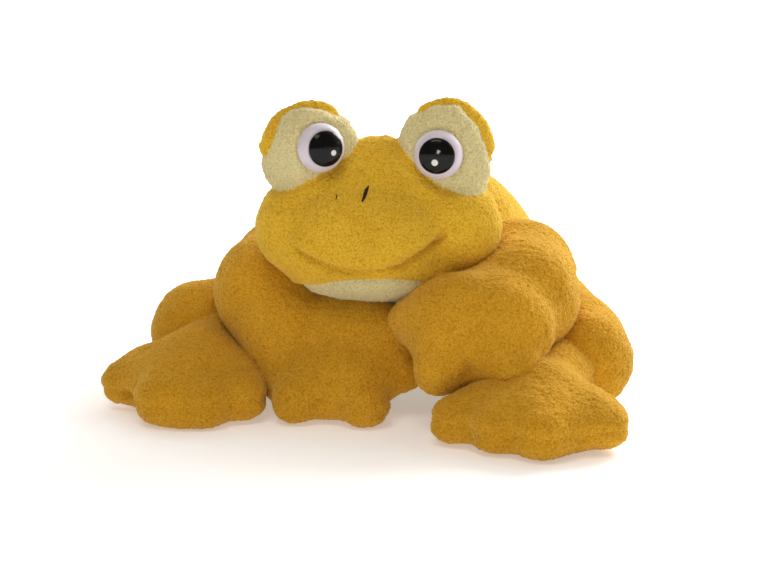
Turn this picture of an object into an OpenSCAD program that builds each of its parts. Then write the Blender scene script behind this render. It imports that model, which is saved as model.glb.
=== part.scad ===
// Plush frog, sprawled on its belly: a stuffed head with domed plastic eyes, two arms,
// two thighs and two webbed feet around a round torso. The frog faces -Y, up is +Z,
// and the origin is on the floor under the middle of the toy. All lengths are in mm.

/* [Fabric] */
// Thickness of the plush fabric with its pile, mm
fabric_t = 3; // [2:0.5:4]
// Gap between the fabric and the stuffing, mm
stuff_gap = 3; // [1.5:0.1:4]
// Width of the groove along a limb's seam, mm
seam_gap = 1; // [0.5:0.1:2]

/* [Torso] */
// Half width of the torso, mm
torso_w = 112; // [95:1:125]
// Half length of the torso, mm
torso_l = 116; // [100:1:135]
// Height of the torso's middle above the floor, mm
torso_z = 97; // [85:1:110]
// Distance of the torso's middle behind the origin, mm
torso_y = 76; // [65:1:90]

/* [Head] */
// Half width of the head, mm
head_w = 105; // [90:1:115]
// Height of the head's middle above the floor, mm
head_z = 166; // [155:1:180]
// Half height of the head at the brow, mm
brow_h = 68; // [60:1:75]
// Half height of the head at the chin, mm
chin_h = 68; // [60:1:75]
// How far the muzzle stands out in front of the head's middle, mm
muzzle = 62; // [50:1:75]
// How far the head reaches behind its middle, mm
back_d = 26; // [20:1:36]
// How far an eye mound rises above the brow line, mm
mound_h = 40; // [25:1:50]
// Distance of an eye mound from the head's middle, mm
mound_x = 58; // [50:1:66]
// Turn of the head toward the frog's own left, degrees
head_turn = 20; // [0:1:20]

/* [Eyes] */
// Diameter of a white eye disc, mm
eye_d = 40; // [32:1:48]
// Diameter of a black pupil, mm
pupil_d = 29; // [22:1:36]
// Height of the white disc's edge, mm
eye_edge = 3; // [2:0.5:5]
// Height of the eye at its middle, mm
eye_h = 17; // [8:0.5:19]
// Diameter of the eye's post, mm
post_d = 6; // [5:0.5:8]
// Length of the eye's post, mm
post_l = 17; // [14:0.5:22]
// Diameter of the locking washer, mm
washer_d = 24; // [18:1:30]

/* [Limbs] */
// Radius of an arm at the shoulder, mm
arm_r = 36; // [30:1:42]
// Radius of a thigh at the hip and the knee, mm
thigh_r = 42; // [35:1:46]
// Running gap between a limb's round end and what it turns against, mm
joint_gap = 6; // [4:0.5:8]

/* [Hidden] */

yellow = [0.80, 0.60, 0.18];
cream = [0.80, 0.75, 0.55];
white = [0.90, 0.88, 0.90];
black = [0.05, 0.05, 0.06];
fill_c = [0.93, 0.93, 0.90];

stuff_in = fabric_t + stuff_gap;   // stuffing surface below the outer surface
washer_t = 3;                      // thickness of a locking washer
washer_gap = 0.2;                  // play between the washer and the fabric
seat_r = 24;                       // flat seat of the fabric under an eye
seat_out = 36;                     // where the seat has faded into the mound
head_y = -68;                      // head's middle in front of the origin
pole = 1.6;                        // degrees left open at the end of a gore

// joints: the shoulders, hips and knees are the middles of round limb ends
shoulder = [110, -20, 105];
hip = [122, 76, 44];
knee = [168, -18, 43];

function unit(v) = v / norm(v);
function mix(a, b, k) = a + (b - a) * k;
function smooth(k) = let (c = min(1, max(0, k))) c * c * (3 - 2 * c);
function bump(x, s) = exp(-(x / s) * (x / s));
function mirror_x(p) = [-p[0], p[1], p[2]];

// ---------- closed solids from grids of points ----------

function grid_faces(nu, nv, base, flip) = [
  for (i = [0:nu - 1]) for (j = [0:nv - 1])
    let (a = base + i * (nv + 1) + j, b = a + nv + 1)
    each flip ? [[a, a + 1, b + 1], [a, b + 1, b]] : [[a, b + 1, a + 1], [a, b, b + 1]]
];

function wall(p, q, k, flip) =
  flip ? [[p, q + k, q], [p, p + k, q + k]] : [[p, q, q + k], [p, q + k, p + k]];

// the fabric between an outer and an inner grid of (nu + 1) by (nv + 1) points
module cloth(outer, inner, nu, nv) {
  k = (nu + 1) * (nv + 1);
  last = nu * (nv + 1);
  polyhedron(
    points = concat(outer, inner),
    faces = concat(
      grid_faces(nu, nv, 0, false),
      grid_faces(nu, nv, k, true),
      [for (j = [0:nv - 1]) each wall(j, j + 1, k, false)],
      [for (j = [0:nv - 1]) each wall(last + j, last + j + 1, k, true)],
      [for (i = [0:nu - 1]) each wall(i * (nv + 1), (i + 1) * (nv + 1), k, true)],
      [for (i = [0:nu - 1]) each wall(i * (nv + 1) + nv, (i + 1) * (nv + 1) + nv, k, false)]
    )
  );
}

// a closed body from rings of m points, each end closed by strips across the ring
module rings(points, n, m) {
  half = m / 2;
  polyhedron(
    points = points,
    faces = concat(
      [for (i = [0:n - 2]) for (j = [0:m - 1])
        let (a = i * m + j, b = i * m + (j + 1) % m) each [[a, b + m, b], [a, a + m, b + m]]],
      strip(0, m, half, false),
      strip((n - 1) * m, m, half, true)
    )
  );
}

function strip(base, m, half, flip) = [
  for (j = [0:half - 1])
    let (a = base + j, b = base + j + 1, c = base + (m - j - 1) % m, d = base + (m - j) % m)
    each (j == 0) ? [flip ? [d, c, b] : [d, b, c]]
      : (j == half - 1) ? [flip ? [a, d, b] : [a, b, d]]
      : flip ? [[a, d, c], [a, c, b]] : [[a, c, d], [a, b, c]]
];

// ---------- torso ----------

// keeps a torso point clear of a limb's round end at c
function clear_of(p, c, r) =
  let (v = p - c, d = norm(v)) d < r ? c + v * (r / d) : p;

// torso surface: t runs from the neck to the tail, a around it, in is the inset
function torso_pt(t, a, in) =
  let (
    girth = pow(sin(t), 0.82),
    egg = 1 - 0.12 * cos(t),
    w = (torso_w - in) * girth * egg,
    up = (torso_z + 4 - in) * girth * (1 - 0.05 * cos(t)),
    down = (torso_z + 2 - in) * pow(sin(t), 0.6),
    p0 = [w * cos(a), torso_y - (torso_l - (cos(t) > 0 ? 6 : 0) - in) * cos(t), torso_z + (sin(a) > 0 ? up : down) * sin(a)],
    p1 = clear_of(p0, shoulder, arm_r + joint_gap + in),
    p2 = clear_of(p1, mirror_x(shoulder), arm_r + joint_gap + in),
    p3 = clear_of(p2, hip, thigh_r + joint_gap + in)
  )
  clear_of(p3, mirror_x(hip), thigh_r + joint_gap + in);

torso_n = 18;
torso_m = 14;
seam_a = 0.4;                      // half the seam groove, in degrees around the torso

function torso_grid(a0, a1, in) = [
  for (i = [0:torso_n]) for (j = [0:torso_m])
    torso_pt(mix(pole, 180 - pole, i / torso_n), mix(a1, a0, j / torso_m), in)
];

module back_panel() color(yellow)
  cloth(torso_grid(seam_a, 180 - seam_a, 0), torso_grid(seam_a, 180 - seam_a, fabric_t),
        torso_n, torso_m);

// the belly rests on a flat patch where the toy's weight presses it to the floor
module belly_panel() color(cream)
  difference() {
    cloth(torso_grid(180 + seam_a, 360 - seam_a, 0), torso_grid(180 + seam_a, 360 - seam_a, fabric_t),
          torso_n, torso_m);
    translate([-60, torso_y - 100, -10]) cube([120, 200, 10]);
  }

module torso_stuffing() color(fill_c)
  rings([for (i = [0:torso_n]) for (j = [0:23])
    torso_pt(mix(3, 177, i / torso_n), -j * 15, stuff_in)], torso_n + 1, 24);

// ---------- head ----------

// the head is shaped facing -Y, then turned about the upright line through its middle
module turned() translate([0, head_y, 0]) rotate([0, 0, head_turn]) translate([0, -head_y, 0]) children();

right_eye = [-48, -99, 224.5];
left_eye = [48, -99, 219];
right_axis = unit([0.42, -0.9, 0.02]);
left_axis = unit([-0.13, -0.98, 0]);

// presses a head point at angle a onto the flat seat behind an eye
function seat(p, a, eye, axis, in) =
  let (
    v = p - eye,
    h = v * axis,
    r = norm(v - axis * h),
    k = (1 - smooth((r - seat_r) / (seat_out - seat_r))) * smooth((h + 44) / 12)
      * smooth((a % 360 - crown_a) / 18)
  )
  p - axis * ((h + in) * k);

function head_top(x) =
  brow_h * pow(max(0.0001, 1 - (x / head_w) * (x / head_w)), 0.42)
  + mound_h * bump(abs(x) - mound_x, 30) * smooth((head_w - abs(x)) / 16);

// head surface: t runs from the right cheek (-X) to the left cheek, a around the X axis
// with 90 at the top and 180 at the muzzle, in is the inset and deep the extra seat depth
function head_pt(t, a, in, deep) =
  let (
    girth = pow(sin(t), 0.84),
    x = -(head_w - in) * cos(t),
    xo = -head_w * cos(t),
    up = head_top(xo) - in * pow(sin(t), 0.5),
    down = (chin_h - in) * girth,
    front = (34 + (muzzle - 34) * bump(a - 204, 42) - in) * girth,
    back = (back_d - in) * girth,
    p0 = [x, head_y + (cos(a) < 0 ? front : back) * cos(a), head_z + (sin(a) > 0 ? up : down) * sin(a)],
    p1 = cos(a) < 0 ? seat(p0, a, left_eye, left_axis, in + deep) : p0
  )
  cos(a) < 0 ? seat(p1, a, right_eye, right_axis, in + deep) : p1;

crown_a = 104;                     // seam over the head, a little in front of the top
nape_a = 292;                      // seam under the chin
groove_a = 0.7;                   // half the seam groove, in degrees around the head

// lower edge of the two eye patches, and the mouth corner's edge of the chin
function brow_a(x) =
  let (u = (abs(x) - 17) / (97 - 17))
  u <= 0 || u >= 1 ? crown_a : crown_a + 60 * pow(sin(180 * pow(u, 0.85)), 0.9);
function lip_a(x) = 227 + 18 * (x / 80) * (x / 80);

face_n = 32;
back_n = 24;
function row_t(i, n) = mix(pole, 180 - pole, i / n);
function row_x(t) = -head_w * cos(t);

function face_grid(in) = [
  for (i = [0:face_n]) for (j = [0:11])
    let (t = row_t(i, face_n), x = row_x(t))
    head_pt(t, mix(brow_a(x) + groove_a, lip_a(x) - groove_a, j / 11), in, 0)
];
function chin_grid(in) = [
  for (i = [0:back_n]) for (j = [0:5])
    let (t = row_t(i, back_n), x = row_x(t))
    head_pt(t, mix(lip_a(x) + groove_a, nape_a - groove_a, j / 5), in, 0)
];
function back_grid(in) = [
  for (i = [0:back_n]) for (j = [0:12])
    head_pt(row_t(i, back_n), mix(nape_a + groove_a, 360 + crown_a - groove_a, j / 12), in, 0)
];
patch_n = 16;
function patch_grid(side, in) = [
  for (i = [0:patch_n]) for (j = [0:7])
    let (
      u = mix(0.05, 0.95, i / patch_n),
      x = side * mix(17, 97, side < 0 ? 1 - u : u),
      t = acos(-x / head_w)
    )
    head_pt(t, mix(crown_a + groove_a, brow_a(x) - 2 * groove_a, j / 7), in, 0)
];

module along(axis) {
  rotate([0, acos(axis[2]), atan2(axis[1], axis[0])]) children();
}

module post_hole(eye, axis, d, l)
  translate(eye - axis * l) along(axis) cylinder(d = d, h = l + 8, $fn = 32);

module face_panel() color(yellow) turned() cloth(face_grid(0), face_grid(fabric_t), face_n, 11);
module chin_panel() color(cream) turned() cloth(chin_grid(0), chin_grid(fabric_t), back_n, 5);
module back_head_panel() color(yellow) turned() cloth(back_grid(0), back_grid(fabric_t), back_n, 12);

module eye_patch(side, eye, axis) color(cream) turned()
  difference() {
    cloth(patch_grid(side, 0), patch_grid(side, fabric_t), patch_n, 7);
    post_hole(eye, axis, post_d + 0.3, 12);
  }

module head_stuffing() color(fill_c) turned()
  difference() {
    rings([for (i = [0:back_n]) for (j = [0:23])
      head_pt(mix(3, 177, i / back_n), 8 + j * 15, stuff_in, washer_t + 2 * washer_gap + 3)],
      back_n + 1, 24);
    post_hole(left_eye, left_axis, post_d + 1, post_l + 2);
    post_hole(right_eye, right_axis, post_d + 1, post_l + 2);
  }

// ---------- eyes ----------

seat_h = 0.7;                      // clearance of the eye's back over the fabric
dip = 5;                           // depth of the pupil's seat below the eye's top

// an arc over a disc of radius r, from its edge height to its top height
function dome(r, edge, top, n) = [for (k = [0:n]) [r * cos(90 * k / n), edge + (top - edge) * sin(90 * k / n)]];

module eye_white(eye, axis) color(white) turned()
  translate(eye) along(axis) {
    rotate_extrude($fn = 64) polygon(concat(
      [[0, -post_l], [post_d / 2, -post_l], [post_d / 2, seat_h], [eye_d / 2 - 1, seat_h]],
      [for (p = dome(eye_d / 2, eye_edge, eye_h, 10)) if (p[0] > pupil_d / 2) p],
      [[pupil_d / 2 + 0.05, eye_h - dip - 0.05], [0, eye_h - dip - 0.05]]));
  }

module pupil(eye, axis) color(black) turned()
  translate(eye) along(axis) rotate_extrude($fn = 64) polygon(concat(
    [[0, eye_h - dip]],
    [for (p = dome(pupil_d / 2, eye_h - dip + 1.6, eye_h + 1.5, 8)) if (p[0] > 0.01) p],
    [[0, eye_h + 1.5]]));

module washer(eye, axis) color(white) turned()
  translate(eye - axis * (fabric_t + washer_gap + washer_t)) along(axis)
    difference() {
      cylinder(d = washer_d, h = washer_t, $fn = 48);
      translate([0, 0, -1]) cylinder(d = post_d + 0.2, h = washer_t + 2, $fn = 32);
    }

// ---------- stitches ----------

// a round thread of radius r along the points given
module thread(path, r) {
  n = len(path);
  rings([for (i = [0:n - 1]) for (k = [0:7])
    let (
      d = unit(path[min(n - 1, i + 1)] - path[max(0, i - 1)]),
      s = unit(cross(d, [0, 1, 0.2])),
      w = cross(d, s)
    )
    path[i] + r * (s * cos(45 * k) + w * sin(45 * k))], n, 8);
}

function on_face(x, a, out) = head_pt(acos(-x / head_w), a, -out, 0);

module nostril(x, size) color(black) turned()
  thread([for (k = [0:4]) on_face(x + size * k / 4, 165 - 4.2 * size * k / 4, 4.2)], 1.2);

module smile_stitch() color(yellow) turned()
  thread([for (k = [0:28]) let (x = mix(-64, 64, k / 28))
    on_face(x - 10, 219 - 17 * (x / 64) * (x / 64), 1.6)], 1.1);

// ---------- limbs ----------

// A limb is a round end, a tube that bends along a curve and, on arms and feet, a fan
// of three soft lobes. Its fields are picked out by these functions.
function l_path(l) = l[0];         // four control points
function l_side(l) = l[1];         // sideways direction at the root and at the wrist
function l_root(l) = l[2];         // radius of the round end
function l_wrist(l) = l[3];        // half width, height above and depth below the seam
function l_fan(l) = l[4];          // lobe lengths on the -side, in the middle, on the +side
function l_spread(l) = l[5];       // turn of the outer lobes, degrees
function l_palm(l) = l[6];         // height above and depth below the seam at the palm

cap_n = 3;
tube_n = 5;
fan_n = 6;
limb_n = cap_n + tube_n + fan_n;
limb_m = 14;

function bez(p, t) =
  p[0] * pow(1 - t, 3) + p[1] * 3 * t * pow(1 - t, 2) + p[2] * 3 * t * t * (1 - t) + p[3] * pow(t, 3);
function bez_d(p, t) =
  unit((p[1] - p[0]) * pow(1 - t, 2) + (p[2] - p[1]) * 2 * t * (1 - t) + (p[3] - p[2]) * t * t);
function square_to(s, d) = unit(s - d * (s * d));

// length of the fan across its width, v from -1 to 1, with a dip between the lobes
function lobe(f, v) =
  let (
    k = v < 0 ? mix(f[1], f[0], smooth(-v / 0.7)) : mix(f[1], f[2], smooth(v / 0.7)),
    notch = 1 - 0.13 * bump(abs(v) - 0.36, 0.13),
    round = 1 - 0.35 * smooth((abs(v) - 0.72) / 0.28)
  )
  k * notch * round;

// a point of a limb: row i, v across from -1 to 1, up is 1 above the seam or -1 below
function limb_pt(l, i, v, up, in, reach) =
  let (
    p = l_path(l), r = l_root(l) - in,
    hgt = sqrt(max(0, 1 - v * v)),
    wr = l_wrist(l), pm = l_palm(l)
  )
  i <= cap_n ?
    let (
      a = mix(5, 90, i / cap_n), d = bez_d(p, 0), s = square_to(l_side(l)[0], d), u = cross(s, d)
    )
    p[0] - d * (r * cos(a)) + (s * v + u * (up * hgt)) * (r * sin(a)) + u * (up * seam_gap / 2)
  : i <= cap_n + tube_n ?
    let (
      t = (i - cap_n) / tube_n, d = bez_d(p, t),
      s = square_to(mix(l_side(l)[0], l_side(l)[1], t), d), u = cross(s, d),
      k = smooth(t)
    )
    bez(p, t) + s * (v * (mix(l_root(l), wr[0], k) - in))
    + u * (up * (seam_gap / 2 + hgt * (mix(l_root(l), up > 0 ? wr[1] : wr[2], k) - in)))
  :
    let (
      t = reach * sin(90 * (i - cap_n - tube_n) / fan_n),
      d = bez_d(p, 1), s = square_to(l_side(l)[1], d), u = cross(s, d),
      a = v * l_spread(l) / 0.7,
      rise = mix(up > 0 ? wr[1] : wr[2], up > 0 ? pm[0] : pm[1], smooth(t * 1.6)) - in,
      close = sqrt(max(0, 1 - pow(t, up > 0 ? 2.6 : 5)))
    )
    p[3] + s * (v * (wr[0] - in))
    + (d * cos(a) + s * sin(a)) * (t * (lobe(l_fan(l), v) - in))
    + u * (up * (seam_gap / 2 + hgt * max(rise, 1) * close));

function limb_grid(l, up, in) = [
  for (i = [0:limb_n]) for (j = [0:limb_m])
    limb_pt(l, i, -cos(mix(4, 176, j / limb_m)) / cos(4), up, in, 1)
];

module limb_cloth(l, up)
  if (up > 0) cloth(limb_grid(l, up, 0), limb_grid(l, up, fabric_t), limb_n, limb_m);
  else cloth(limb_grid(l, up, fabric_t), limb_grid(l, up, 0), limb_n, limb_m);

module limb_fill(l)
  rings([for (i = [0:limb_n]) for (j = [0:19])
    let (a = j * 18)
    limb_pt(l, i, -cos(a), sin(a) >= 0 ? 1 : -1, stuff_in, 0.95)], limb_n + 1, 20);

// the right hand lies on the floor and the left one over the left foot
right_arm = [
  [mirror_x(shoulder), [-124, -82, 96], [-84, -66, 23], [-60, -80, 23]],
  [[-1, 0, 0], [-0.6, -0.79, 0]], arm_r, [31, 24, 21], [64, 84, 84], 33, [25, 21]
];
left_arm = [
  [shoulder, [135, -78, 104], [106, -74, 92], [94, -92, 79]],
  [[-1, 0, 0], [-0.97, 0.16, 0.16]], arm_r, [32, 22, 18], [50, 52, 66], 48, [21, 16]
];

// a foot's heel is in front of the knee, toe_out turns the toes away from the middle
function foot(side, toe_out, lens) = [
  [for (k = [0:3]) [side * (150 + k * 3 * tan(toe_out)), -82 - 6 * k, k < 2 ? 24 - 3 * k : 19]],
  [[-1, 0, 0], [-1, 0, 0]], 20, [36, 26, 18], lens, 34, [23, 18]
];

// the thigh is a short bolster with a round end at the hip and at the knee
thigh_n = 4;
thigh_m = 10;
function thigh_pt(side, i, v, up, in) =
  let (
    p = [side * hip[0], hip[1], hip[2]], q = [side * knee[0], knee[1], knee[2]],
    d = unit(q - p), s = square_to([-1, 0, 0], d), u = cross(s, d),
    hgt = sqrt(max(0, 1 - v * v)),
    r = thigh_r - in,
    first = i <= cap_n, last = i >= cap_n + thigh_n,
    a = first ? mix(5, 90, i / cap_n) : last ? mix(90, 175, (i - cap_n - thigh_n) / cap_n) : 90,
    c = first ? p : last ? q : mix(p, q, (i - cap_n) / thigh_n)
  )
  c - d * (r * cos(a)) + (s * v + u * (up * hgt)) * (r * sin(a));

thigh_rows = 2 * cap_n + thigh_n;
function thigh_grid(side, up, in) = [
  for (i = [0:thigh_rows]) for (j = [0:thigh_m])
    thigh_pt(side, i, -cos(mix(1, 179, j / thigh_m)), up, in)
];

module thigh_cloth(side, up)
  if (up > 0) cloth(thigh_grid(side, up, 0), thigh_grid(side, up, fabric_t), thigh_rows, thigh_m);
  else cloth(thigh_grid(side, up, fabric_t), thigh_grid(side, up, 0), thigh_rows, thigh_m);

module thigh_fill(side)
  rings([for (i = [0:thigh_rows]) for (j = [0:15])
    thigh_pt(side, i, -cos(22.5 * j), sin(22.5 * j) >= 0 ? 1 : -1, stuff_in)], thigh_rows + 1, 16);

right_foot = foot(-1, -3, [69, 92, 69]);
left_foot = foot(1, 7, [64, 86, 76]);

module left_eye_patch() eye_patch(1, left_eye, left_axis);
module right_eye_patch() eye_patch(-1, right_eye, right_axis);
module left_eye_white() eye_white(left_eye, left_axis);
module right_eye_white() eye_white(right_eye, right_axis);
module left_pupil() pupil(left_eye, left_axis);
module right_pupil() pupil(right_eye, right_axis);
module left_eye_washer() washer(left_eye, left_axis);
module right_eye_washer() washer(right_eye, right_axis);
module left_nostril_stitch() nostril(-12, 2.4);
module right_nostril_stitch() nostril(-35, 1.4);
module left_arm_upper() color(yellow) limb_cloth(left_arm, 1);
module left_arm_under() color(yellow) limb_cloth(left_arm, -1);
module left_arm_stuffing() color(fill_c) limb_fill(left_arm);
module right_arm_upper() color(yellow) limb_cloth(right_arm, 1);
module right_arm_under() color(yellow) limb_cloth(right_arm, -1);
module right_arm_stuffing() color(fill_c) limb_fill(right_arm);
module left_thigh_upper() color(yellow) thigh_cloth(1, 1);
module left_thigh_under() color(yellow) thigh_cloth(1, -1);
module left_thigh_stuffing() color(fill_c) thigh_fill(1);
module right_thigh_upper() color(yellow) thigh_cloth(-1, 1);
module right_thigh_under() color(yellow) thigh_cloth(-1, -1);
module right_thigh_stuffing() color(fill_c) thigh_fill(-1);
module left_foot_upper() color(yellow) limb_cloth(left_foot, 1);
module left_foot_sole() color(yellow) limb_cloth(left_foot, -1);
module left_foot_stuffing() color(fill_c) limb_fill(left_foot);
module right_foot_upper() color(yellow) limb_cloth(right_foot, 1);
module right_foot_sole() color(yellow) limb_cloth(right_foot, -1);
module right_foot_stuffing() color(fill_c) limb_fill(right_foot);

back_panel();
belly_panel();
torso_stuffing();
face_panel();
chin_panel();
back_head_panel();
head_stuffing();
left_eye_patch();
right_eye_patch();
left_eye_white();
right_eye_white();
left_pupil();
right_pupil();
left_eye_washer();
right_eye_washer();
left_nostril_stitch();
right_nostril_stitch();
smile_stitch();
left_arm_upper();
left_arm_under();
left_arm_stuffing();
right_arm_upper();
right_arm_under();
right_arm_stuffing();
left_thigh_upper();
left_thigh_under();
left_thigh_stuffing();
right_thigh_upper();
right_thigh_under();
right_thigh_stuffing();
left_foot_upper();
left_foot_sole();
left_foot_stuffing();
right_foot_upper();
right_foot_sole();
right_foot_stuffing();
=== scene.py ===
import math

import bpy
import numpy as np
from mathutils import Matrix, Vector
from mathutils.bvhtree import BVHTree
from mathutils.kdtree import KDTree


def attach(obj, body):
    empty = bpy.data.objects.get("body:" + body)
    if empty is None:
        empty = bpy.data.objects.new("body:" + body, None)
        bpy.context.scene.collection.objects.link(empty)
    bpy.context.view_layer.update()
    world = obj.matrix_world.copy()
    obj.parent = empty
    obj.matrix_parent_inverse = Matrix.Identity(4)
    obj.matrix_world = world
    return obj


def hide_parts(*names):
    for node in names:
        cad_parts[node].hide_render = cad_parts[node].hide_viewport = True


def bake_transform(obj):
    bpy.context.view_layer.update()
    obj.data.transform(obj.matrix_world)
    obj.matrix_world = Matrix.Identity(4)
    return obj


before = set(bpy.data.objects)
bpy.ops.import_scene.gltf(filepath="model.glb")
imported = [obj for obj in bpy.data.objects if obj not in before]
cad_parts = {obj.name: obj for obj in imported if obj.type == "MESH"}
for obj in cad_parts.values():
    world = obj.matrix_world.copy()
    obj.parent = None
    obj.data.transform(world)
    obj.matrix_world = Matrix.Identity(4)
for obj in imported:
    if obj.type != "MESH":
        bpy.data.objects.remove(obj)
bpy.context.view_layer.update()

MM = 0.001
FINE = 1.3          # spacing of the fabric's vertices, mm


# ---------- distance fields: a soft part is a smooth union of rounded forms, in mm ----------


def unit(v):
    v = np.asarray(v, float)
    return v / np.linalg.norm(v)


def ball(c, r, turn=(0, 0, 0)):
    """An ellipsoid: middle, three radii, and a turn about X, Y and Z in degrees."""
    c, r = np.asarray(c, float), np.asarray(r, float)
    m = np.array(
        (
            Matrix.Rotation(math.radians(turn[2]), 3, "Z")
            @ Matrix.Rotation(math.radians(turn[1]), 3, "Y")
            @ Matrix.Rotation(math.radians(turn[0]), 3, "X")
        )
    )

    def f(p):
        q = (p - c) @ m
        a = np.linalg.norm(q / r, axis=-1)
        b = np.linalg.norm(q / (r * r), axis=-1) + 1e-9
        return a * (a - 1.0) / b

    reach = float(r.max())
    return f, c - reach, c + reach


def limb(a, b, ra, rb):
    """A rounded bar from a to b with a radius at each end."""
    a, b = np.asarray(a, float), np.asarray(b, float)
    d = b - a

    def f(p):
        q = p - a
        t = np.clip(q @ d / (d @ d), 0.0, 1.0)
        return np.linalg.norm(q - t[:, None] * d, axis=-1) - (ra + (rb - ra) * t)

    lo = np.minimum(a - ra, b - rb)
    hi = np.maximum(a + ra, b + rb)
    return f, lo, hi


def join(forms, k):
    """Smooth union of forms with a blend k mm wide."""

    def f(p):
        d = None
        for g, _, _ in forms:
            e = g(p)
            if d is None:
                d = e
            else:
                h = np.maximum(k - np.abs(d - e), 0.0) / k
                d = np.minimum(d, e) - h * h * h * k / 6.0
        return d

    lo = np.min([g[1] for g in forms], axis=0)
    hi = np.max([g[2] for g in forms], axis=0)
    return f, lo, hi


def on_floor(form, k=10.0):
    """The form pressed flat by the floor, with a rounded edge k mm wide."""
    f, lo, hi = form

    def g(p):
        d, e = f(p), -p[:, 2] + 0.6
        h = np.maximum(k - np.abs(d - e), 0.0) / k
        return np.maximum(d, e) + h * h * h * k / 6.0

    return g, np.array([lo[0], lo[1], max(lo[2], -2.0)]), hi


# ---------- skins: closed quad meshes on a distance field ----------


def skin_mesh(form, h):
    """The form's surface as quads about h mm wide, one vertex in each grid cell that it crosses."""
    f, lo, hi = form
    lo, hi = lo - 3 * h, hi + 3 * h
    n = np.ceil((hi - lo) / h).astype(int) + 1
    xs, ys, zs = (lo[i] + h * np.arange(n[i]) for i in range(3))
    field = np.empty(n, np.float32)
    for i, x in enumerate(xs):
        y, z = np.meshgrid(ys, zs, indexing="ij")
        p = np.stack([np.full(y.size, x), y.ravel(), z.ravel()], axis=1)
        field[i] = f(p).reshape(y.shape)
    inside = field < 0
    c = [slice(0, -1), slice(1, None)]
    corners = [(i, j, k) for i in (0, 1) for j in (0, 1) for k in (0, 1)]
    count = sum(inside[c[i], c[j], c[k]].astype(np.int8) for i, j, k in corners)
    cells = np.argwhere((count > 0) & (count < 8))
    total = np.zeros((len(cells), 3))
    hits = np.zeros(len(cells))
    for a in corners:
        for b in corners:
            if sum(b) != sum(a) + 1 or sum(abs(u - v) for u, v in zip(a, b)) != 1:
                continue
            ia, ib = cells + a, cells + b
            fa, fb = field[tuple(ia.T)], field[tuple(ib.T)]
            cross = (fa < 0) != (fb < 0)
            t = np.where(cross, fa / np.where(cross, fa - fb, 1.0), 0.0)
            total += np.where(cross[:, None], ia + (ib - ia) * t[:, None], 0.0)
            hits += cross
    verts = lo + h * total / hits[:, None]
    index = -np.ones(n - 1, np.int64)
    index[tuple(cells.T)] = np.arange(len(cells))
    quads = []
    for axis in range(3):
        u, v = (axis + 1) % 3, (axis + 2) % 3
        first = np.take(inside, range(0, n[axis] - 1), axis)
        second = np.take(inside, range(1, n[axis]), axis)
        edge = np.argwhere(first != second)
        edge = edge[(edge[:, u] > 0) & (edge[:, v] > 0) & (edge[:, u] < n[u] - 1) & (edge[:, v] < n[v] - 1)]
        du, dv = np.eye(3, dtype=int)[u], np.eye(3, dtype=int)[v]
        four = [index[tuple((edge - s).T)] for s in (du + dv, dv, 0 * du, du)]
        q = np.stack(four, axis=1)
        back = ~first[tuple(edge.T)]
        q[back] = q[back][:, ::-1]
        quads.append(q)
    quads = np.concatenate(quads)
    for _ in range(3):
        verts = onto(f, verts)
        verts = relax(verts, quads, 2)
    return onto(f, onto(f, verts)), quads


def slope(f, p, e=0.4):
    """The field's gradient at each point, over a step of e mm."""
    g = np.stack([f(p + e * a) - f(p - e * a) for a in np.eye(3)], axis=1)
    return g / (2 * e)


def onto(f, p):
    """Moves points onto the field's surface."""
    g = slope(f, p)
    return p - g * (f(p) / np.maximum((g * g).sum(axis=1), 0.05))[:, None]


def neighbours(quads):
    """The two ends of each quad's edges, in both directions."""
    a = np.concatenate([quads[:, i] for i in range(4)])
    b = np.concatenate([quads[:, (i + 1) % 4] for i in range(4)])
    return np.concatenate([a, b]), np.concatenate([b, a])


def relax(v, quads, times):
    """Moves each vertex halfway to the middle of its neighbours."""
    a, b = neighbours(quads)
    deg = np.maximum(np.bincount(a, minlength=len(v)), 1)[:, None]
    for _ in range(times):
        s = np.stack([np.bincount(a, v[b, i], len(v)) for i in range(3)], axis=1) / deg
        v = v + (s - v) * 0.5
    return v


def normals(v, quads):
    """The outward normal at each vertex."""
    n = np.cross(v[quads[:, 2]] - v[quads[:, 0]], v[quads[:, 3]] - v[quads[:, 1]])
    out = np.zeros_like(v)
    for i in range(4):
        for k in range(3):
            out[:, k] += np.bincount(quads[:, i], n[:, k], len(v))
    return out / np.maximum(np.linalg.norm(out, axis=1), 1e-9)[:, None]


# ---------- noise ----------


def hashed(i, seed):
    """Three numbers from 0 to 1 for each whole-number point."""
    i = i.astype(np.int64)
    n = i[..., 0] * 73856093 ^ i[..., 1] * 19349663 ^ i[..., 2] * 83492791 ^ (seed * 2654435)
    out = []
    for k in range(3):
        m = (n * (1103515245 + 2 * k * 12345) + 12345 * (k + 1)) & 0x7FFFFFFF
        m = (m ^ (m >> 13)) * 1274126177 & 0x7FFFFFFF
        out.append((m ^ (m >> 16)) / float(0x7FFFFFFF))
    return np.stack(out, axis=-1)


def tufts(p, size, seed):
    """1 at the tip of a tuft of pile, falling to 0 between tufts."""
    q = p / size
    cell = np.floor(q)
    best = np.full(len(p), 9.0)
    for dx in (-1, 0, 1):
        for dy in (-1, 0, 1):
            for dz in (-1, 0, 1):
                c = cell + (dx, dy, dz)
                d = c + 0.15 + 0.7 * hashed(c, seed) - q
                best = np.minimum(best, (d * d).sum(axis=1))
    return np.clip(1.0 - best / 0.75, 0.0, 1.0)


def swell(p, size, seed):
    """Smooth noise from -1 to 1."""
    q = p / size
    cell = np.floor(q)
    t = q - cell
    t = t * t * (3 - 2 * t)
    total = np.zeros(len(p))
    for dx in (0, 1):
        for dy in (0, 1):
            for dz in (0, 1):
                w = np.abs(1 - dx - t[:, 0]) * np.abs(1 - dy - t[:, 1]) * np.abs(1 - dz - t[:, 2])
                total += w * (2 * hashed(cell + (dx, dy, dz), seed)[:, 0] - 1)
    return total


# ---------- pieces ----------


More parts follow.
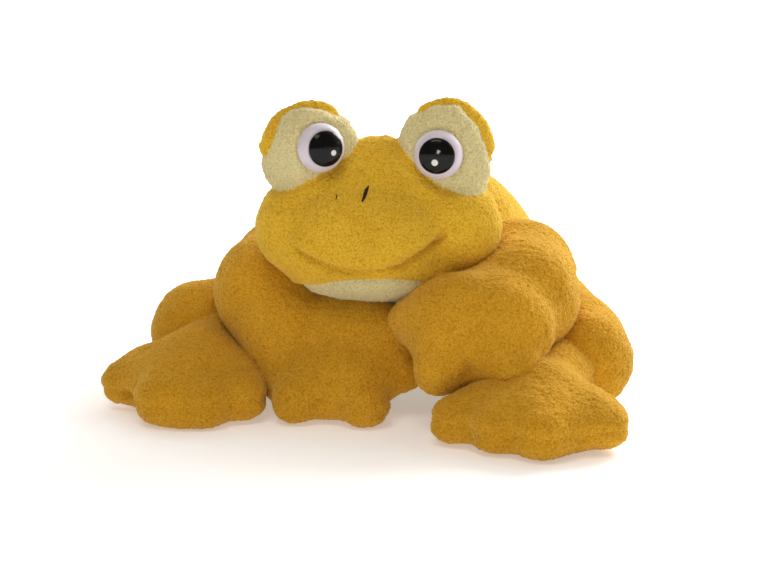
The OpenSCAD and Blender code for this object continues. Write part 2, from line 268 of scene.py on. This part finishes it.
def make_object(name, verts, faces, material):
    """A smooth-shaded object from points in mm and the faces that use them."""
    mesh = bpy.data.meshes.new(name)
    used = np.unique(faces)
    remap = np.zeros(len(verts), np.int64)
    remap[used] = np.arange(len(used))
    verts, faces = verts[used] * MM, remap[faces]
    mesh.vertices.add(len(verts))
    mesh.vertices.foreach_set("co", verts.astype(np.float32).ravel())
    mesh.loops.add(faces.size)
    mesh.loops.foreach_set("vertex_index", faces.astype(np.int32).ravel())
    mesh.polygons.add(len(faces))
    mesh.polygons.foreach_set("loop_start", np.arange(0, faces.size, faces.shape[1], dtype=np.int32))
    mesh.update(calc_edges=True)
    mesh.validate()
    mesh.polygons.foreach_set("use_smooth", np.full(len(mesh.polygons), True))
    mesh.materials.append(material)
    obj = bpy.data.objects.new(name, mesh)
    bpy.context.scene.collection.objects.link(obj)
    return obj


def near_field(points, verts):
    """Distance from each vertex to the nearest of the points."""
    tree = KDTree(len(points))
    for i, p in enumerate(points):
        tree.insert(Vector(p), i)
    tree.balance()
    return np.array([tree.find(Vector(v))[2] for v in verts])


def nearest_node(names, centres):
    """Which of these CAD nodes each point in mm lies nearest to."""
    out = []
    for name in names:
        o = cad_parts[name]
        m = o.matrix_world
        vs = [m @ v.co for v in o.data.vertices]
        tree = BVHTree.FromPolygons(vs, [tuple(f.vertices) for f in o.data.polygons])
        out.append([tree.find_nearest(Vector(c) * MM)[3] for c in centres])
    return np.argmin(np.array(out), axis=0)


PILE = 1.25                           # height of the tufts, mm
ROOM = 8.5                            # depth of the stuffing under the fabric, mm
FIBRE = 4.5                           # spacing of the stuffing's vertices, mm
SEAM = 3.2                            # half width of the groove at a seam, mm
FLOOR_GAP = 0.15                      # lowest point of the fabric over the floor, mm


def stuff(form, name, material, place=None, seed=1, shape=None):
    """A lumpy mass of loose fibre inside a part's fabric."""
    f, lo, hi = form
    v, q = skin_mesh((lambda p: f(p) + ROOM, lo, hi), FIBRE)
    if shape is not None:
        v = shape(v, normals(v, q))
    n = normals(v, q)
    v = v + n * (1.2 * swell(v, 22.0, seed) + 0.9 * swell(v, 9.0, seed + 1) - 1.2)[:, None]
    o = make_object(name + "_fibre", v if place is None else place(v), q, material)
    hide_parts(name)
    return o


def sew(form, label, pieces, groove=2.2, shape=None, place=None, seed=1, h=None):
    """Builds one stuffed part and cuts it into its panels.

    label(points) gives each face's panel number; pieces is a list of (name, CAD node, material).
    groove is the depth of the seams, and shape(points, normals) presses details into the part.
    place moves the finished points from the part's own frame into the shared one.
    """
    v, q = skin_mesh(form, h or FINE)
    if shape is not None:
        v = shape(v, normals(v, q))
    kind = label(v[q].mean(axis=1))
    low = np.full(len(v), 99)
    high = np.full(len(v), -1)
    for i in range(4):
        np.minimum.at(low, q[:, i], kind)
        np.maximum.at(high, q[:, i], kind)
    seam = v[(low != high) & (high >= 0)]
    n = normals(v, q)
    if len(seam) and groove:
        d = near_field(seam, v)
        dip = np.exp(-((d / SEAM) ** 2)) - 0.3 * np.exp(-(((d - 2.6 * SEAM) / SEAM) ** 2))
        v = v - n * (groove * dip)[:, None]
        n = normals(v, q)
    base = v.copy()
    soft = 1.3 * swell(base, 36.0, seed)
    soft = soft + 0.8 * swell(base, 16.0, seed + 1)
    soft = soft + 0.4 * swell(base, 8.0, seed + 2)
    t = tufts(base, 2.6, seed + 3)
    u = tufts(base, 4.8, seed + 4)
    v = v + n * (soft + PILE * (1.2 * t + 0.5 * u - 0.8))[:, None]
    side = np.cross(n, np.array([0.3, 0.2, 1.0]))
    v = v + side * (0.5 * PILE * t * swell(base, 5.0, seed + 5))[:, None]
    if place is not None:
        v = place(v)
    v[:, 2] = np.maximum(v[:, 2], FLOOR_GAP)
    made = []
    for i, (name, node, material) in enumerate(pieces):
        o = make_object(name, v, q[kind == i], material)
        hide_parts(node)
        made.append(o)
    return made


# ---------- materials ----------


def new_material(name):
    m = bpy.data.materials.new(name)
    m.use_nodes = True
    nt = m.node_tree
    return m, nt, nt.nodes["Principled BSDF"]


def plush(name, gap_painted_shade, light, tip_painted_light, rim):
    """Dense curly pile: darker between the tufts as painted shade, lighter at their tips as painted light,
    pale at grazing angles.
    """
    m, nt, bsdf = new_material(name)
    add, link = nt.nodes.new, nt.links.new

    def math_node(kind, a, b, c=None):
        node = add("ShaderNodeMath")
        node.operation = kind
        for i, x in enumerate((a, b, c)):
            if isinstance(x, (int, float)):
                node.inputs[i].default_value = x
            elif x is not None:
                link(x, node.inputs[i])
        return node.outputs[0]

    def noise(scale, detail, rough=0.5):
        node = add("ShaderNodeTexNoise")
        node.inputs["Scale"].default_value = scale
        node.inputs["Detail"].default_value = detail
        node.inputs["Roughness"].default_value = rough
        link(coord.outputs["Object"], node.inputs["Vector"])
        return node

    coord = add("ShaderNodeTexCoord")
    curl = noise(210.0, 2.0)
    centred = add("ShaderNodeVectorMath")
    centred.operation = "SUBTRACT"
    centred.inputs[1].default_value = (0.5, 0.5, 0.5)
    link(curl.outputs["Color"], centred.inputs[0])
    moved = add("ShaderNodeVectorMath")
    moved.operation = "MULTIPLY_ADD"
    moved.inputs[1].default_value = (0.003, 0.003, 0.003)
    link(centred.outputs["Vector"], moved.inputs[0])
    link(coord.outputs["Object"], moved.inputs[2])

    cells = add("ShaderNodeTexVoronoi")
    cells.inputs["Scale"].default_value = 600.0
    link(moved.outputs["Vector"], cells.inputs["Vector"])
    tuft = math_node("MULTIPLY_ADD", cells.outputs["Distance"], -1.1, 0.95)
    fine = noise(900.0, 2.0, 0.6)
    broad = noise(26.0, 3.0)
    patchy = noise(95.0, 2.0)

    height = math_node("MULTIPLY_ADD", fine.outputs["Fac"], 0.35, tuft)
    shade = math_node("MULTIPLY_ADD", tuft, 0.46, math_node("MULTIPLY", fine.outputs["Fac"], 0.42))
    shade = math_node("ADD", shade, math_node("MULTIPLY_ADD", patchy.outputs["Fac"], 0.18, -0.07))

    # painted shade darkens the gaps between the tufts and painted light brightens their tips; the patchy
    # noise adds random tone
    ramp = add("ShaderNodeValToRGB")
    ramp.color_ramp.elements[0].position = 0.10
    ramp.color_ramp.elements[0].color = (*gap_painted_shade, 1)
    ramp.color_ramp.elements[1].position = 0.88
    ramp.color_ramp.elements[1].color = (*tip_painted_light, 1)
    mid = ramp.color_ramp.elements.new(0.45)
    mid.color = (*light, 1)
    link(shade, ramp.inputs["Fac"])

    level = add("ShaderNodeMapRange")
    level.inputs["From Min"].default_value = 0.3
    level.inputs["From Max"].default_value = 0.7
    level.inputs["To Min"].default_value = 0.93
    level.inputs["To Max"].default_value = 1.06
    link(broad.outputs["Fac"], level.inputs["Value"])
    tone = add("ShaderNodeHueSaturation")
    link(level.outputs["Result"], tone.inputs["Value"])
    link(ramp.outputs["Color"], tone.inputs["Color"])
    link(tone.outputs["Color"], bsdf.inputs["Base Color"])

    bump = add("ShaderNodeBump")
    bump.inputs["Strength"].default_value = 0.6
    bump.inputs["Distance"].default_value = 0.0012
    link(height, bump.inputs["Height"])
    link(bump.outputs["Normal"], bsdf.inputs["Normal"])

    bsdf.inputs["Roughness"].default_value = 0.95
    bsdf.inputs["Specular IOR Level"].default_value = 0.08
    bsdf.inputs["Sheen Weight"].default_value = 0.6
    bsdf.inputs["Sheen Roughness"].default_value = 0.4
    bsdf.inputs["Sheen Tint"].default_value = (*rim, 1)
    return m


def plain(name, color, rough, coat=0.0, spec=0.5):
    m, nt, bsdf = new_material(name)
    bsdf.inputs["Base Color"].default_value = (*color, 1)
    bsdf.inputs["Roughness"].default_value = rough
    bsdf.inputs["Coat Weight"].default_value = coat
    bsdf.inputs["Coat Roughness"].default_value = 0.05
    bsdf.inputs["Specular IOR Level"].default_value = spec
    return m


yellow = plush(
    "plush_yellow", (0.54, 0.28, 0.010), (0.75, 0.455, 0.034), (0.88, 0.64, 0.10), (1.0, 0.84, 0.3)
)
# the same yellow plush, made darker and more orange for the limbs: painted shade, since the limbs sit low
# and in shade
yellow_limbs_painted_shade = plush(
    "plush_yellow_limbs", (0.46, 0.20, 0.007), (0.65, 0.335, 0.021), (0.80, 0.52, 0.075), (1.0, 0.80, 0.28)
)
cream = plush(
    "plush_cream", (0.50, 0.42, 0.19), (0.70, 0.62, 0.32), (0.84, 0.77, 0.46), (1.0, 0.95, 0.72)
)
fibre = plain("fibrefill", (0.85, 0.85, 0.82), 1.0)
eye_white = plain("eye_white", (0.62, 0.57, 0.66), 0.22, coat=0.3)


def pupil_black(name, dot, size):
    """Glossy black with a printed white dot at a point in mm."""
    m, nt, bsdf = new_material(name)
    coord = nt.nodes.new("ShaderNodeTexCoord")
    far = nt.nodes.new("ShaderNodeVectorMath")
    far.operation = "DISTANCE"
    far.inputs[1].default_value = tuple(a * MM for a in dot)
    edge = nt.nodes.new("ShaderNodeMapRange")
    edge.inputs["From Min"].default_value = (size - 0.3) * MM
    edge.inputs["From Max"].default_value = (size + 0.3) * MM
    ramp = nt.nodes.new("ShaderNodeValToRGB")
    ramp.color_ramp.elements[0].color = (0.75, 0.73, 0.72, 1)
    ramp.color_ramp.elements[1].color = (0.003, 0.003, 0.0035, 1)
    nt.links.new(coord.outputs["Object"], far.inputs[0])
    nt.links.new(far.outputs["Value"], edge.inputs["Value"])
    nt.links.new(edge.outputs["Result"], ramp.inputs["Fac"])
    nt.links.new(ramp.outputs["Color"], bsdf.inputs["Base Color"])
    bsdf.inputs["Roughness"].default_value = 0.09
    bsdf.inputs["Specular IOR Level"].default_value = 0.22
    return m


washer_mat = plain("washer_plastic", (0.7, 0.7, 0.7), 0.6)
thread_black = plain("thread_black", (0.01, 0.008, 0.006), 0.8)
# the smile's real thread, coloured dark brown as painted shade of the crease it lies in
thread_yellow = plain("thread_yellow", (0.16, 0.07, 0.012), 0.9)


# ---------- head ----------

# The head is shaped facing -Y, then turned toward the frog's own left about its upright middle line.
HEAD = np.array([0.0, -68.0, 0.0])
TURN = np.array(Matrix.Rotation(math.radians(20), 3, "Z"))


def turned(p):
    """Points of the unturned head, in mm, moved to where the turned head has them."""
    return (p - HEAD) @ TURN.T + HEAD


# each eye's middle on the unturned head and the way it looks, as in the CAD: right, left
EYES = (
    ((-48, -99, 224.5), (0.42, -0.9, 0.02)),
    ((48, -99, 219), (-0.13, -0.98, 0.0)),
)

head = join(
    [
        ball((0, -68, 161), (96, 42, 69)),
        ball((-12, -92, 151), (66, 42, 43)),
        ball((-2, -84, 124), (72, 36, 26)),
        ball((67, -82, 156), (34, 35, 37)),
        ball((-66, -80, 156), (34, 34, 36)),
        ball((55, -76, 219), (39, 26, 43)),
        ball((-57, -76, 218), (40, 26, 42)),
    ],
    14.0,
)


def smile_height(x):
    """Height of the smile's line at x on the unturned head."""
    return 126.0 + np.where(x < -12, 0.0057, 0.0068) * (x + 12.0) ** 2


def step(x):
    """0 below 0, 1 above 1, and smooth between."""
    x = np.clip(x, 0.0, 1.0)
    return x * x * (3 - 2 * x)


def press_eyes(v, depth):
    """Presses points flat behind the eyes, depth mm below their seats."""
    for eye, axis in EYES:
        axis = unit(axis)
        d = v - np.array(eye, float)
        h = d @ axis
        rad = np.linalg.norm(d - np.outer(h, axis), axis=1)
        k = (1 - step((rad - 21.0) / 12.0)) * step((h + 40.0) / 10.0)
        move = np.where((h > -depth) | (depth < 1.0), h + depth, 0.0)
        v = v - np.outer(move * k, axis)
    return v


def shape_head(v, n):
    """Seats the eyes and pinches the smile, with the muzzle bulging over it."""
    v = press_eyes(v, 0.6)
    x, y, z = v.T
    front = step((-88.0 - y) / 12.0)
    ends = step((x + 76.0) / 14.0) * step((56.0 - x) / 10.0)
    d = z - smile_height(x)
    depth = 6.4 + 2.4 * step((x - 5.0) / 30.0)
    push = ends * front * (3.0 * np.exp(-(((d - 9.0) / 7.0) ** 2)) - depth * np.exp(-((d / 3.8) ** 2)))
    return v + n * push[:, None]


# outlines of the cream eye patches, as x and z on the unturned head
RIGHT_PATCH = [
    (-15, 236), (-30, 249), (-44, 255), (-59, 258), (-72, 256), (-80, 249), (-86, 230), (-93, 216),
    (-115, 208), (-115, 189), (-86, 188), (-69, 191), (-55, 198), (-38, 207), (-22, 220), (-15, 230),
]
LEFT_PATCH = [
    (13, 238), (25, 249), (47, 260), (66, 258), (80, 243), (88, 225), (92, 209), (115, 203),
    (115, 188), (87, 187), (70, 187), (49, 193), (37, 203), (24, 216), (15, 227),
]


def within(x, z, outline):
    """Which points lie inside a closed outline."""
    inside = np.zeros(len(x), bool)
    for (x0, z0), (x1, z1) in zip(outline, outline[1:] + outline[:1]):
        if z0 != z1:
            inside ^= ((z0 > z) != (z1 > z)) & (x < (x1 - x0) * (z - z0) / (z1 - z0) + x0)
    return inside


def head_label(p):
    """0 face, 1 back of the head, 2 chin, 3 left and 4 right eye patch."""
    x, y, z = p.T
    ax = np.abs(x)
    kind = np.zeros(len(p), int)
    kind[y > -60.0] = 1
    kind[(z > 215) & (ax > 12)] = 1
    for number, outline in ((4, RIGHT_PATCH), (3, LEFT_PATCH)):
        kind[within(x, z, outline) & (y < -62.0)] = number
    kind[(kind == 1) & (z > 215) & (ax < 60) & (z < 232)] = 0
    lip = 120.0 - 0.0028 * x * x
    kind[(z < lip) & (y < -62.0) & (ax < 68)] = 2
    return kind


head_pieces = sew(
    head,
    head_label,
    [
        ("face_panel_plush", "face_panel", yellow),
        ("back_head_panel_plush", "back_head_panel", yellow),
        ("chin_panel_plush", "chin_panel", cream),
        ("left_eye_patch_plush", "left_eye_patch", cream),
        ("right_eye_patch_plush", "right_eye_patch", cream),
    ],
    shape=shape_head,
    place=turned,
    seed=11,
    h=FINE * 0.9,
)
for o in head_pieces:
    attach(o, "head")
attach(stuff(head, "head_stuffing", fibre, turned, 12, lambda v, n: press_eyes(v, 9.0)), "head")


# ---------- stitches, laid on the finished face ----------

face_tree = BVHTree.FromObject(head_pieces[0], bpy.context.evaluated_depsgraph_get())


def on_face(x, z, out):
    """The point of the face at x, z of the unturned head, out mm above the pile."""
    start = turned(np.array([[x, -400.0, z]]))[0] * MM
    aim = TURN @ np.array([0.0, 1.0, 0.0])
    hit, _, _, _ = face_tree.ray_cast(Vector(start), Vector(aim))
    p = np.array(hit) / MM if hit is not None else turned(np.array([[x, -130.0, z]]))[0]
    return p - aim * out


def cord_mesh(path, radius, sides=8, twist=0.0, strands=2):
    """A laid thread along a path of points: strands wound round each other."""
    path = np.array(path)
    t = np.gradient(path, axis=0)
    t /= np.linalg.norm(t, axis=1)[:, None]
    a = np.cross(t, [0.0, 0.3, 1.0])
    a /= np.linalg.norm(a, axis=1)[:, None]
    b = np.cross(t, a)
    run = np.concatenate([[0], np.cumsum(np.linalg.norm(np.diff(path, axis=0), axis=1))])
    verts, faces = [], []
    for s in range(strands):
        turn = run * twist + 2 * math.pi * s / strands
        mid = path + (radius * 0.5) * (a * np.cos(turn)[:, None] + b * np.sin(turn)[:, None])
        r = radius * 0.62
        base = len(verts)
        for i in range(len(path)):
            end = min(i, len(path) - 1 - i)
            rr = r * (0.35 if end == 0 else 1.0)
            for k in range(sides):
                w = 2 * math.pi * k / sides
                verts.append(mid[i] + rr * (a[i] * math.cos(w) + b[i] * math.sin(w)))
        for i in range(len(path) - 1):
            for k in range(sides):
                m = (k + 1) % sides
                p, q = base + i * sides, base + (i + 1) * sides
                faces.append((p + k, p + m, q + m, q + k))
    return np.array(verts), np.array(faces)


def stitched(name, node, strokes, radius, material):
    """One object from the threads along a list of strokes, riding on the head."""
    vs, fs, base = [], [], 0
    for path in strokes:
        v, f = cord_mesh(path, radius, twist=1.6)
        vs.append(v)
        fs.append(f + base)
        base += len(v)
    o = make_object(name, np.concatenate(vs), np.concatenate(fs), material)
    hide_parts(node)
    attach(o, "head")
    return o


def stroke(x0, z0, x1, z1, n, out, arch=0.0):
    """A thread's path over the face, out mm above it and arch mm more in the middle."""
    return [
        on_face(x0 + (x1 - x0) * k / n, z0 + (z1 - z0) * k / n, out + arch * math.sin(math.pi * k / n))
        for k in range(n + 1)
    ]


SMILE_FROM = -74.0                    # x of the smile's right corner
SMILE_WIDE = 129.0
STITCHES = 26
STITCH = 3.6                          # length of one stitch, mm
smile = []
for i in range(STITCHES):
    x0 = SMILE_FROM + SMILE_WIDE * i / STITCHES
    x1 = x0 + STITCH
    smile.append(stroke(x0, float(smile_height(x0)), x1, float(smile_height(x1)), 6, -1.4, 0.6))
stitched("smile_stitch_thread", "smile_stitch", smile, 0.55, thread_yellow)
stitched(
    "left_nostril_thread",
    "left_nostril_stitch",
    [stroke(i - 13.2, 183.0 + 1.2 * i, i - 10.4, 192.5 + i, 8, -0.3, 1.5) for i in range(3)],
    0.95,
    thread_black,
)
stitched(
    "right_nostril_thread",
    "right_nostril_stitch",
    [stroke(-34.2, 184.0, -33.4, 188.0, 6, -0.4, 0.6)],
    0.6,
    thread_black,
)

# ---------- torso ----------

torso = on_floor(
    join(
        [
            ball((0, 76, 93), (100, 114, 93)),
            ball((28, 56, 112), (58, 70, 82)),
            ball((0, 12, 104), (84, 60, 80)),
            ball((0, -30, 92), (60, 40, 52)),
        ],
        30.0,
    ),
    24.0,
)
for o in sew(
    torso,
    lambda p: nearest_node(["back_panel", "belly_panel"], p),
    [
        ("back_panel_plush", "back_panel", yellow),
        ("belly_panel_plush", "belly_panel", cream),
    ],
    seed=21,
    h=FINE * 1.15,
) + [stuff(torso, "torso_stuffing", fibre, None, 22)]:
    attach(o, "torso")


# ---------- limbs ----------


def creased(lines, folds=None):
    """Presses creases along short lines, each (from, to, depth, width), into a part."""

    def shape(v, n):
        push = np.zeros(len(v))
        for a, b, depth, width in lines:
            a, d = np.array(a, float), np.array(b, float) - np.array(a, float)
            t = np.clip((v - a) @ d / (d @ d), 0, 1)
            gap = np.linalg.norm(v - a - t[:, None] * d, axis=1)
            push -= depth * np.exp(-((gap / width) ** 2))
        if folds is not None:
            push += folds(v)
        return v + n * push[:, None]

    return shape


def thigh_folds(v):
    """Soft folds in the cloth that run from the arm out over the thigh."""
    x, y, z = v.T
    k = step((x + 196.0) / 60.0) * step((z - 58.0) / 14.0) * step((y + 78.0) / 20.0)
    run = 0.75 * z - 0.55 * y + 0.10 * (x + 150.0)
    return -1.5 * k * (1.0 - np.cos(run * 2 * math.pi / 11.0)) * 0.9


def limb_part(side, part, form, groove, seed, names=("upper", "under"), shape=None):
    """A limb's two panels and its stuffing."""
    top, under = (side + "_" + part + "_" + k for k in names)
    made = sew(
        form,
        lambda p: nearest_node([top, under], p),
        [(top + "_plush", top, yellow_limbs_painted_shade), (under + "_plush", under, yellow_limbs_painted_shade)],
        groove=groove,
        shape=shape,
        seed=seed,
    )
    made.append(stuff(form, side + "_" + part + "_stuffing", fibre, None, seed + 7))
    for o in made:
        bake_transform(o)


left_arm = join(
    [
        limb((104, 2, 110), (118, -46, 98), 46, 42),
        limb((118, -46, 98), (98, -90, 84), 44, 40),
        ball((94, -94, 84), (62, 32, 44), (26, 0, 0)),
        limb((70, -104, 88), (36, -92, 84), 27, 17),
        limb((76, -106, 70), (72, -122, 54), 30, 22),
        limb((112, -104, 70), (130, -112, 54), 31, 21),
    ],
    26.0,
)
right_arm = on_floor(
    join(
        [
            limb((-104, -12, 106), (-104, -64, 94), 47, 44),
            limb((-104, -64, 94), (-72, -88, 58), 44, 40),
            ball((-34, -100, 34), (60, 44, 34), (24, 0, 0)),
            ball((-24, -78, 62), (62, 34, 38)),
            limb((-40, -110, 28), (-48, -136, 18), 28, 19),
            limb((-8, -110, 28), (10, -126, 18), 28, 19),
            limb((-10, -98, 36), (26, -84, 38), 26, 17),
        ],
        16.0,
    )
)
limb_part(
    "left", "arm", left_arm, 0.8, 31,
    shape=creased([
        ((100, -134, 46), (98, -128, 72), 3.0, 5.0),
        ((54, -124, 60), (66, -126, 74), 2.5, 5.0),
        ((146, -76, 70), (132, -92, 92), 2.5, 5.0),
    ]),
)
limb_part(
    "right", "arm", right_arm, 0.8, 41,
    shape=creased([
        ((-20, -148, 10), (-24, -134, 34), 3.0, 4.5),
        ((22, -124, 12), (20, -108, 34), 2.0, 5.0),
    ]),
)


left_thigh = on_floor(
    join([limb((104, 84, 50), (146, 14, 46), 50, 44), limb((146, 14, 46), (163, -14, 44), 44, 42)], 18.0)
)
right_thigh = on_floor(
    join([limb((-106, 84, 50), (-152, 6, 46), 50, 45), limb((-152, 6, 47), (-177, -44, 48), 46, 46)], 18.0)
)
for side, s, form, seed, shape in (
    ("left", 1, left_thigh, 51, None),
    ("right", -1, right_thigh, 56, creased([], thigh_folds)),
):
    limb_part(
        side, "thigh", form, 0.8, seed,
        shape=shape,
    )

left_foot = on_floor(
    join(
        [
            limb((150, -46, 36), (148, -92, 30), 32, 30),
            ball((150, -119, 22), (70, 52, 28)),
            limb((150, -116, 24), (128, -158, 18), 30, 20),
            limb((158, -104, 26), (208, -130, 19), 28, 15),
            limb((152, -112, 26), (166, -162, 18), 32, 21),
            limb((140, -108, 26), (94, -148, 19), 30, 20),
        ],
        18.0,
    )
)
right_foot = on_floor(
    join(
        [
            limb((-150, -46, 40), (-150, -100, 34), 36, 32),
            ball((-148, -122, 26), (68, 54, 31)),
            limb((-146, -116, 26), (-130, -176, 18), 30, 20),
            limb((-152, -112, 28), (-204, -144, 21), 30, 17),
            limb((-150, -116, 26), (-150, -174, 18), 34, 22),
            limb((-146, -116, 26), (-112, -170, 18), 32, 20),
            limb((-138, -114, 26), (-92, -146, 20), 28, 19),
        ],
        18.0,
    )
)
left_creases = [
    ((112, -172, 12), (116, -152, 38), 2.0, 4.5),
    ((196, -156, 14), (184, -132, 40), 2.5, 4.5),
]
right_creases = [
    ((-190, -168, 12), (-182, -140, 46), 3.5, 5.0),
    ((-98, -172, 12), (-112, -150, 42), 2.5, 5.0),
]
for side, s, form, seed, lines in (
    ("left", 1, left_foot, 61, left_creases),
    ("right", -1, right_foot, 71, right_creases),
):
    limb_part(
        side, "foot", form,
        1.4, seed, ("upper", "sole"), creased(lines),
    )

# ---------- hard pieces ----------

for name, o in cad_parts.items():
    for key, mat in (("eye_white", eye_white), ("washer", washer_mat)):
        if key in name:
            o.data.materials.clear()
            o.data.materials.append(mat)
PUPIL_TOP = 17.7                      # the printed dot's height over the eye's middle, mm
for side, (eye, axis), right, down, size in (
    ("right", EYES[0], 5.0, 3.2, 2.3),
    ("left", EYES[1], -1.2, 4.8, 2.6),
):
    axis = unit(axis)
    across = unit(np.cross(axis, [0, 0, -1.0]))
    above = np.cross(across, -axis)
    dot = np.array(eye, float) + axis * PUPIL_TOP + across * right - above * down
    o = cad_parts[side + "_pupil"]
    o.data.materials.clear()
    o.data.materials.append(pupil_black(side + "_pupil_black", turned(dot[None])[0], size))

# ---------- floor, light and camera ----------

scene = bpy.context.scene


def card(name, corners, material):
    mesh = bpy.data.meshes.new(name)
    mesh.from_pydata(corners, [], [tuple(range(len(corners)))])
    mesh.materials.append(material)
    o = bpy.data.objects.new(name, mesh)
    scene.collection.objects.link(o)
    return o


floor_mat = plain("floor_white", (0.9, 0.9, 0.9), 0.7, spec=0.1)
# painted light: the floor glows, weakly near the toy and more strongly far from it, so the studio floor
# looks lit up to the backdrop and is brighter far from the toy
ft = floor_mat.node_tree
ft.nodes["Principled BSDF"].inputs["Emission Color"].default_value = (1, 1, 1, 1)
place = ft.nodes.new("ShaderNodeTexCoord")
reach = ft.nodes.new("ShaderNodeVectorMath")
reach.operation = "LENGTH"
glow = ft.nodes.new("ShaderNodeMapRange")
glow.interpolation_type = "SMOOTHSTEP"
glow.inputs["From Min"].default_value = 0.6
glow.inputs["From Max"].default_value = 1.6
glow.inputs["To Min"].default_value = 0.3
glow.inputs["To Max"].default_value = 0.7
ft.links.new(place.outputs["Object"], reach.inputs[0])
ft.links.new(reach.outputs["Value"], glow.inputs["Value"])
ft.links.new(glow.outputs["Result"], ft.nodes["Principled BSDF"].inputs["Emission Strength"])
card("floor", [(-9, -9, 0), (9, -9, 0), (9, 9, 0), (-9, 9, 0)], floor_mat)

wall_mat = plain("backdrop_white", (0.9, 0.9, 0.9), 0.8, spec=0.0)
wall_bsdf = wall_mat.node_tree.nodes["Principled BSDF"]
wall_bsdf.inputs["Emission Color"].default_value = (1, 1, 1, 1)
wall_bsdf.inputs["Emission Strength"].default_value = 1.0
card("backdrop", [(-9, 3.0, -0.01), (9, 3.0, -0.01), (9, 3.0, 6), (-9, 3.0, 6)], wall_mat)

# a studio that is bright behind and above the toy and dim in front of it
world = bpy.data.worlds.new("studio")
world.use_nodes = True
wt = world.node_tree
coord = wt.nodes.new("ShaderNodeTexCoord")
split = wt.nodes.new("ShaderNodeSeparateXYZ")
fade = wt.nodes.new("ShaderNodeMapRange")
fade.interpolation_type = "SMOOTHSTEP"
fade.inputs["From Min"].default_value = -0.2
fade.inputs["From Max"].default_value = 0.6
fade.inputs["To Min"].default_value = 0.2
fade.inputs["To Max"].default_value = 1.15
wt.links.new(coord.outputs["Generated"], split.inputs["Vector"])
wt.links.new(split.outputs["Y"], fade.inputs["Value"])
wt.links.new(fade.outputs["Result"], wt.nodes["Background"].inputs["Strength"])
tint = wt.nodes.new("ShaderNodeValToRGB")
tint.color_ramp.elements[0].position = 0.15
tint.color_ramp.elements[0].color = (1.0, 0.80, 0.62, 1)
tint.color_ramp.elements[1].position = 0.8
tint.color_ramp.elements[1].color = (1.0, 1.0, 1.0, 1)
wt.links.new(fade.outputs["Result"], tint.inputs["Fac"])
wt.links.new(tint.outputs["Color"], wt.nodes["Background"].inputs["Color"])
scene.world = world


def area(name, at, to, size, power, color=(1, 1, 1)):
    light = bpy.data.lights.new(name, "AREA")
    light.shape = "RECTANGLE"
    light.size, light.size_y = size
    light.energy = power
    light.color = color
    o = bpy.data.objects.new(name, light)
    o.location = at
    o.rotation_euler = (Vector(to) - Vector(at)).to_track_quat("-Z", "Y").to_euler()
    scene.collection.objects.link(o)
    return o


area("back_light", (0.6, 1.1, 0.9), (0.08, 0.0, 0.12), (0.8, 0.7), 22)
area("key_light", (0.05, -0.75, 1.15), (0, -0.06, 0.16), (0.7, 0.6), 4.2, (1.0, 0.95, 0.86))
area("front_light", (0.40, -1.72, 0.40), (0, -0.1, 0.15), (0.18, 0.18), 2.6, (1.0, 0.93, 0.80))

cam = bpy.data.cameras.new("camera")
cam.lens = 73.4
cam.sensor_width = 36.0
camera = bpy.data.objects.new("camera", cam)
scene.collection.objects.link(camera)
az, el, dist = math.radians(20), math.radians(11), 1.3
target = Vector((0.0076, -0.0767, 0.1096))
away = Vector((math.sin(az) * math.cos(el), -math.cos(az) * math.cos(el), math.sin(el)))
camera.location = target + away * dist
camera.rotation_euler = (-away).to_track_quat("-Z", "Y").to_euler()
scene.camera = camera
scene.view_settings.view_transform = "Standard"
